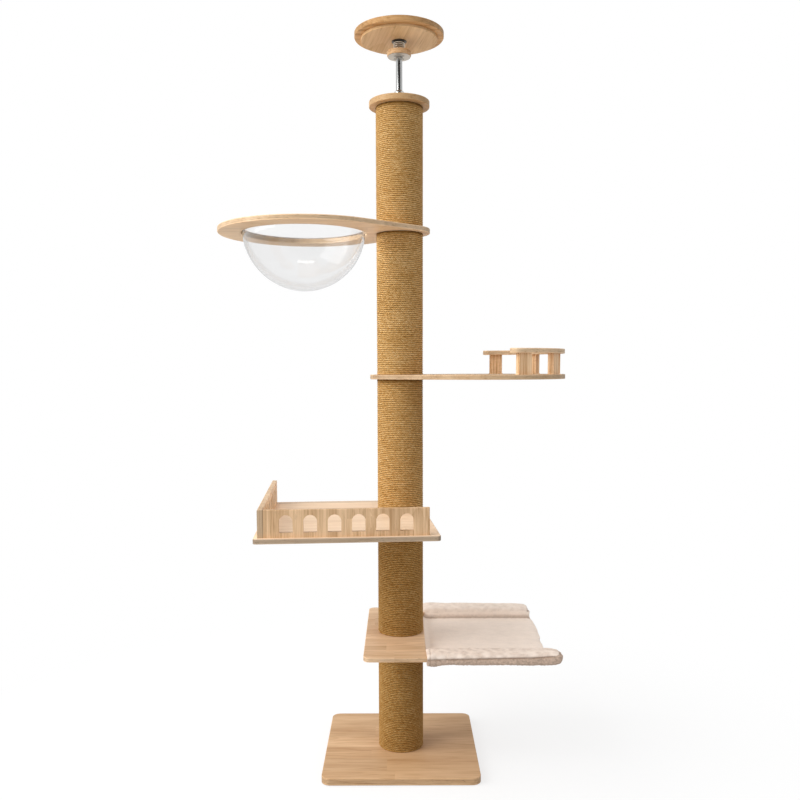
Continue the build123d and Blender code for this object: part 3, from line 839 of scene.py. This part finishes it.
def stitchRow(g, given):
    line = g.add("GeometryNodeMeshToCurve", {"Mesh": given.Geometry})
    points, turned = g.add("GeometryNodeCurveToPoints", {"Curve": line, "Length": given.spacing},
                           ("Points", "Rotation"), mode="LENGTH")
    stitch = g.add("GeometryNodeMeshUVSphere", {"Segments": 8, "Rings": 6, "Radius": 0.5})
    wide = given.radius * 2
    stitch = g.add("GeometryNodeTransform", {"Geometry": stitch, "Scale": g.vector(wide, wide, given.length)})
    return g.add("GeometryNodeInstanceOnPoints", {"Points": points, "Instance": stitch, "Rotation": turned})


def threadMaterial():
    g = Paint("sewingThread")
    twist = g.noise(g.stretched(2600, 900, 900), detail=1.0)
    return g.finish(baseColor=g.blend(twist, *stitchLook["thread"]), roughness=0.7 + twist * 0.1,
                    normal=g.bump(twist, 0.2 * mm, 0.5))


def seamLine(mesh, side, count=90):
    # where a level ray from outside meets the sling's long faces
    length = sleeveEnd(side) - slingLow.x
    tree = BVHTree.FromPolygons([v.co for v in mesh.vertices], [p.vertices for p in mesh.polygons])
    points = []
    for n in range(count):
        x = slingLow.x + length * (stitchLook["from"] + stitchLook["run"] * n / (count - 1))
        hit = tree.ray_cast(Vector((x, side * 0.5, seamLevel(x))), Vector((0, -side, 0)))
        if hit[0]:
            points.append(hit[0] + Vector((0, side * stitchLook["proud"], 0)))
    return points


def polyLines(name, lines):
    mesh = bpy.data.meshes.new(name)
    points, edges = [], []
    for line in lines:
        start = len(points)
        points += line
        edges += [(start + n, start + n + 1) for n in range(len(line) - 1)]
    mesh.from_pydata(points, edges, [])
    return mesh


seams = polyLines("seams", [seamLine(slingPiece.data, side) for side in (-1, 1)])
stitches = grow("sling_stitches", stitchRow, seams, spacing=stitchLook["pitch"], length=stitchLook["long"],
                radius=stitchLook["thick"], material=threadMaterial())
smooth(stitches.data)
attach(stitches, "hammock")
print("sling:", len(slingPiece.data.polygons), "faces, stitches", len(stitches.data.polygons))


# Clear bowl. rimShade: how much painted shade greys it towards its outline; bend: its index of refraction
bowlLook = {"tint": (0.925, 0.925, 0.925), "lipTint": (0.80, 0.80, 0.79), "rimShade": 0.16, "bend": 1.35,
            "wall": 3 * mm, "lipRound": 1.2 * mm, "rings": 40, "sides": 128}


def acrylicMaterial():
    g = Paint("clearAcrylic")
    haze = g.noise(g.stretched(9, 9, 16), detail=3.0)
    facing = g.add("ShaderNodeLayerWeight", {"Blend": 0.5}, out="Facing")
    # painted shade: greyer where the wall turns away towards the outline
    tone = (0.965 + haze * 0.07) * (1 - facing.ease(0.35, 1.0) * bowlLook["rimShade"])
    return g.finish(baseColor=g.scaled(bowlLook["tint"], tone), roughness=0.03 + haze * 0.03,
                    transmissionWeight=1.0, ior=bowlLook["bend"])


def lipMaterial():
    # the sawn and flamed rim, milkier than the wall
    g = Paint("flamedRim")
    cloud = g.noise(g.place, scale=60.0, detail=3.0)
    return g.finish(baseColor=g.scaled(bowlLook["lipTint"], 0.97 + cloud * 0.06),
                    roughness=0.12 + cloud * 0.04, transmissionWeight=0.12, ior=bowlLook["bend"])


def bowlProfile(low, high):
    # up the inside, over the round lip and down the outside
    lip, outer = (high.x - low.x) / 2, high.z - low.z
    wall, soft, steps = bowlLook["wall"], bowlLook["lipRound"], bowlLook["rings"]
    inner = outer - wall
    profile = [(inner * math.sin(a), high.z - inner * math.cos(a))
               for a in (math.pi / 2 * n / steps for n in range(steps))]
    profile += [(inner + 0.2 * soft, high.z - 0.25 * soft), (inner + soft, high.z), (lip - soft, high.z)]
    profile += [(lip - soft + soft * math.sin(a), high.z - wall / 2 + wall / 2 * math.cos(a))
                for a in (math.pi * n / 6 for n in range(1, 6))]
    profile += [(lip - soft, high.z - wall), (outer + soft, high.z - wall)]
    start = math.acos(min(1.0, (wall + soft) / outer))
    return profile + [(outer * math.sin(a), high.z - outer * math.cos(a))
                      for a in (start * (1 - n / steps) for n in range(steps + 1))]


bowlLow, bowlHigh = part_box("bowl")
centre = (bowlLow + bowlHigh) / 2
bowl = meshObject("clear_bowl", lathe("clearBowl", bowlProfile(bowlLow, bowlHigh), centre, bowlLook["sides"]),
                  acrylicMaterial())
bowl.data.materials.append(lipMaterial())
lipFloor = bowlHigh.z - bowlLook["wall"] * 1.05
for face in bowl.data.polygons:
    face.material_index = int(face.center.z > lipFloor)
smooth(bowl.data)
# clear acrylic lets the light through to the shelf and the post
bowl.visible_shadow = False
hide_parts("bowl")
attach(bowl, "bowl")
print("bowl: ", len(bowl.data.polygons), "faces")


# The jack screw's rolled thread
jack = {"pitch": 2.5 * mm, "depth": 0.12 * mm, "sides": 48, "ringsPerPitch": 6}


def rolledThread(g, given):
    tube = g.add("GeometryNodeMeshCylinder", {
        "Vertices": given.sides, "Side Segments": given.rings, "Radius": given.radius, "Depth": given.height},
        out="Mesh", fill_type="NGON")
    x, y, z = position(g)
    wave = (z / given.pitch - g.math("ARCTAN2", y, x) / (2 * math.pi)).fract()
    groove = ((wave - 0.5).size() * 2).ease(0.72, 0.98)
    ends = (z.size() * 2 / given.height).ease(0.985, 1.0)
    shrink = 1 - (groove * given.depth + ends * given.depth * 1.5) / given.radius
    return moved(g, tube, x * shrink, y * shrink, z + given.bottom + given.height / 2)


rodLow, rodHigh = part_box("jack_rod")
rodTall = rodHigh.z - rodLow.z
rod = grow("jack_thread", rolledThread, bottom=rodLow.z, height=rodTall, radius=rodHigh.x, pitch=jack["pitch"],
           depth=jack["depth"], sides=jack["sides"],
           rings=round(rodTall / jack["pitch"] * jack["ringsPerPitch"]), material=metals["jackSteel"])
smooth(rod.data)
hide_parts("jack_rod")
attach(rod, "jack_screw")
print("jack thread:", len(rod.data.polygons), "faces")


# Spring and the knob's plate. stroke: how far it is pressed; margin: from the knob's edge to the plate's
coil = {"radius": 18 * mm, "wire": 1.75 * mm, "turns": 5.0, "steps": 48, "sides": 14, "stroke": 12 * mm}
knobPlate = {"margin": 1.8 * mm, "hole": 11 * mm, "soft": 0.6 * mm, "sides": 96}


def pressureSpring(g, given):
    # its last turn at each end lies flat
    wire = given.wire
    turn = g.add("GeometryNodeSplineParameter") * given.turns
    active = given.turns - 2
    inner = g.math("MINIMUM", g.math("MAXIMUM", turn - 1, 0.0), active)
    rise = (turn - inner) * wire * 2 + inner * (given.height - wire * 6) / active
    x, y = position(g)[:2]
    line = coilLine(g, given, given.radius - wire, x, y, given.bottom + wire + rise)
    return sweep(g, line, ring(g, given, wire))


springLow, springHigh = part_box("jack_spring")
springTall = springHigh.z - springLow.z
spring = grow("pressure_spring", pressureSpring, bottom=springLow.z, height=springTall, radius=coil["radius"],
              wire=coil["wire"], turns=coil["turns"], steps=coil["steps"], sides=coil["sides"],
              material=metals["springSteel"])
smooth(spring.data)
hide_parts("jack_spring")
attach(spring, "spring_carriage")
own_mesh(spring)

plateLow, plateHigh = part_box("knob_flange")
hole, soft = knobPlate["hole"], knobPlate["soft"]
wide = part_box("jack_knob")[1].x - knobPlate["margin"]
outline = [(hole, plateLow.z), (wide - soft, plateLow.z), (wide - soft * 0.3, plateLow.z + soft * 0.3),
           (wide, plateLow.z + soft), (wide, plateHigh.z), (hole, plateHigh.z), (hole, plateLow.z)]
plateMesh = lathe("knobPlate", outline, (0, 0), knobPlate["sides"])
plate = meshObject("knob_plate", plateMesh, metals["flangeSteel"])
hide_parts("knob_flange")
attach(plate, "jack_screw")
print("spring:", len(spring.data.polygons), "faces, plate", len(plate.data.polygons))


# Cross-head screws, each row with its body, whether they point up and their steel
screwLook = {"headRadius": 4.2 * mm, "shankRadius": 2.2 * mm, "headTall": 2.6 * mm, "rimTall": 0.25 * mm,
             "rimRound": 0.93, "slotLong": 2.3 * mm, "slotWide": 0.5 * mm, "slotDeep": 1.5 * mm,
             "slotFloor": 0.35, "flankPitch": 1.8 * mm, "flankDepth": 0.78}
screwRows = {"flange_screws": ("root", False, "zincScrew"), "knob_screws": ("jack_screw", True, "cupSteel"),
             "fence_screws": ("balcony", True, "zincScrew"), "rail_screws": ("perch", True, "zincScrew")}


def screwMesh(length):
    # a countersunk screw along +Z with its face at z = 0 and a cross cut in its head
    look = screwLook
    long, wide, tall = look["slotLong"], look["slotWide"], look["headTall"]
    cross = []
    for a in (math.pi / 2 * k for k in range(4)):
        for along, side in ((long, -wide), (long, wide), (wide, wide)):
            cross.append((along * math.cos(a) - side * math.sin(a), along * math.sin(a) + side * math.cos(a)))
    rim = [(look["headRadius"] * math.cos(a), look["headRadius"] * math.sin(a))
           for a in (math.atan2(y, x) for x, y in cross)]
    shank = look["shankRadius"] / look["headRadius"]
    # each ring's outline, its share and its height
    rings = [(cross, look["slotFloor"], look["slotDeep"]), (cross, 1, 0), (rim, look["rimRound"], 0),
             (rim, 1, look["rimTall"]), (rim, shank, tall)]
    for n in range(1, 2 * int((length - tall) / look["flankPitch"])):
        rings.append((rim, shank * (1.0 if n % 2 else look["flankDepth"]), tall + n * look["flankPitch"] / 2))
    rings = [[(x * share, y * share, z) for x, y in line] for line, share, z in rings]
    return loft("screw", rings + [[(0, 0, length)]], floor=True)


def screwSet(g, given):
    body = g.add("GeometryNodeObjectInfo", {"Object": given.screw}, out="Geometry")
    spin = g.add("FunctionNodeRandomValue", {"Min": 0.0, "Max": 1.5, "Seed": given.seed}, out=1,
                 data_type="FLOAT")
    return g.add("GeometryNodeInstanceOnPoints", {
        "Points": given.Geometry, "Instance": body, "Rotation": g.vector(0.0, 0.0, spin)})


def islands(node):
    # the middle, lowest and highest points of each loose solid of a CAD node
    work = welded(node)
    free, found = set(work.verts), []
    for seed in work.verts:
        if seed in free:
            group = [seed]
            free.remove(seed)
            for vertex in group:
                near = {edge.other_vert(vertex) for edge in vertex.link_edges} & free
                group += near
                free -= near
            xs, ys, zs = zip(*(vertex.co for vertex in group))
            found.append(((min(xs) + max(xs)) / 2, (min(ys) + max(ys)) / 2, min(zs), max(zs)))
    work.free()
    return found


for number, (node, (body, upward, steel)) in enumerate(screwRows.items()):
    places = islands(node)
    source = meshObject("screw_source", screwMesh(places[0][3] - places[0][2]))
    if not upward:
        source.data.transform(Matrix.Rotation(math.pi, 4, "X"))
    points = bpy.data.meshes.new(f"{node}Places")
    points.from_pydata([(x, y, low if upward else high) for x, y, low, high in places], [], [])
    screws = grow(node.replace("screws", "crosshead_screws"), screwSet, points, screw=source, seed=number,
                  material=metals[steel])
    bpy.data.objects.remove(source)
    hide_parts(node)
    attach(screws, body)
    print("screws:", node, len(places))


# Stage, light and camera. Panels are given by two opposite corners
studio = {"skyLevel": 0.78, "keyPower": 262, "keyPlace": (-4.0, -1.5, 3.4), "keySize": 4.4,
          "keyAim": (0, 0, 1.3), "floor": ((-14, -14, 0), (14, 14, 0)), "paper": (0.94, 0.94, 0.94),
          "floorGlow": 0.72, "floorBounce": (0.55, 0.55, 0.55), "glowFrom": 0.5, "glowTo": 1.7,
          "flag": ((-4.2, -4.5, 2.6), (4.2, -4.5, 6.5)), "flagTone": (0.02, 0.02, 0.02),
          "cards": {"left": (-3.4, 1.15), "right": (3.4, 0.85)},
          "cardLow": (-1.8, 2.2), "cardHigh": (1.2, 4.6),
          "strip": ((-0.45, -0.24, 2.25), (-0.16, -0.15, 2.25)), "stripGlow": 9.0}
view = {"place": (0, -2.7636, 1.2958), "pitch": 5.67, "roll": 0.17, "lens": 38.05, "sensor": 36,
        "shift": 0.0643}
white = (1, 1, 1, 1)


def rayKinds(g):
    return g.add("ShaderNodeLightPath", out=("Is Camera Ray", "Is Glossy Ray", "Is Transmission Ray"))


def floorMaterial():
    # lit by the lamp near the tree and glowing white farther out
    g = Paint("studioFloor")
    camera, glossy, through = rayKinds(g)
    seen = g.clamp(camera + glossy + through)
    x, y = g.parts(g.place)[:2]
    far = ((x * x + y * y) ** 0.5).ease(studio["glowFrom"], studio["glowTo"])
    grain = g.noise(g.place, scale=3.0)
    paper = g.scaled(g.blend(seen, studio["floorBounce"], studio["paper"]), 0.995 + grain * 0.01)
    matte = g.add("ShaderNodeBsdfDiffuse", {"Color": paper})
    glow = g.add("ShaderNodeEmission", {"Color": white, "Strength": 1.0})
    share = seen * (studio["floorGlow"] + far * (1 - studio["floorGlow"]))
    return g.surface(g.add("ShaderNodeMixShader", {0: share, 1: matte, 2: glow}))


def flagMaterial():
    g = Paint("darkFlag")
    weave = g.noise(g.place, scale=40.0)
    felt = g.scaled(studio["flagTone"], 0.9 + weave * 0.2)
    return g.surface(g.add("ShaderNodeBsdfDiffuse", {"Color": felt}))


def cardMaterial(name, glow):
    g = Paint(name)
    lit = g.scaled((1, 1, 1), 0.97 + g.noise(g.place, scale=2.0) * 0.06)
    return g.surface(g.add("ShaderNodeEmission", {"Color": lit, "Strength": glow}))


def panel(name, low, high, material):
    first, second = [axis for axis in range(3) if low[axis] != high[axis]]
    corners = [list(low) for n in range(4)]
    corners[1][first] = corners[2][first] = high[first]
    corners[2][second] = corners[3][second] = high[second]
    mesh = bpy.data.meshes.new(name)
    mesh.from_pydata(corners, [], [(0, 1, 2, 3)])
    piece = meshObject(name, mesh, material)
    return piece


def makeStage():
    panel("studio_floor", *studio["floor"], floorMaterial())
    # a dark flag behind the camera and white cards, which only shiny things show
    onlyShine = [panel("dark_flag", *studio["flag"], flagMaterial())]
    for name, (x, glow) in studio["cards"].items():
        onlyShine.append(panel(f"card_{name}", (x, *studio["cardLow"]), (x, *studio["cardHigh"]),
                               cardMaterial(f"{name}Card", glow)))
    onlyShine.append(panel("card_over_bowl", *studio["strip"], cardMaterial("stripLamp", studio["stripGlow"])))
    for piece in onlyShine:
        piece.visible_camera = piece.visible_diffuse = False
        piece.visible_shadow = piece.visible_transmission = False

    world = bpy.data.worlds.new("studio")
    bpy.context.scene.world = world
    world.use_nodes = True
    g = Graph(world.node_tree)
    g.tree.nodes.clear()
    camera, _, through = rayKinds(g)
    level = studio["skyLevel"] + g.clamp(camera + through) * (1 - studio["skyLevel"])
    sky = g.add("ShaderNodeBackground", {"Color": white, "Strength": level})
    g.add("ShaderNodeOutputWorld", {"Surface": sky}, out=None)

    lamp = bpy.data.lights.new("key", "AREA")
    lamp.energy = studio["keyPower"]
    lamp.size = studio["keySize"]
    holder = bpy.data.objects.new("key", lamp)
    holder.location = studio["keyPlace"]
    aim = Vector(studio["keyAim"]) - holder.location
    holder.rotation_euler = aim.to_track_quat("-Z", "Y").to_euler()
    holder.visible_glossy = False
    bpy.context.scene.collection.objects.link(holder)


def makeCamera():
    lens = bpy.data.cameras.new("camera")
    lens.lens = view["lens"]
    lens.sensor_width = view["sensor"]
    lens.shift_y = view["shift"]
    camera = bpy.data.objects.new("camera", lens)
    camera.location = view["place"]
    camera.rotation_euler = (math.radians(90 - view["pitch"]), math.radians(view["roll"]), 0)
    bpy.context.scene.collection.objects.link(camera)
    bpy.context.scene.camera = camera


makeStage()
makeCamera()
bpy.context.scene.view_settings.view_transform = "Standard"
print("stage, lights and camera placed")
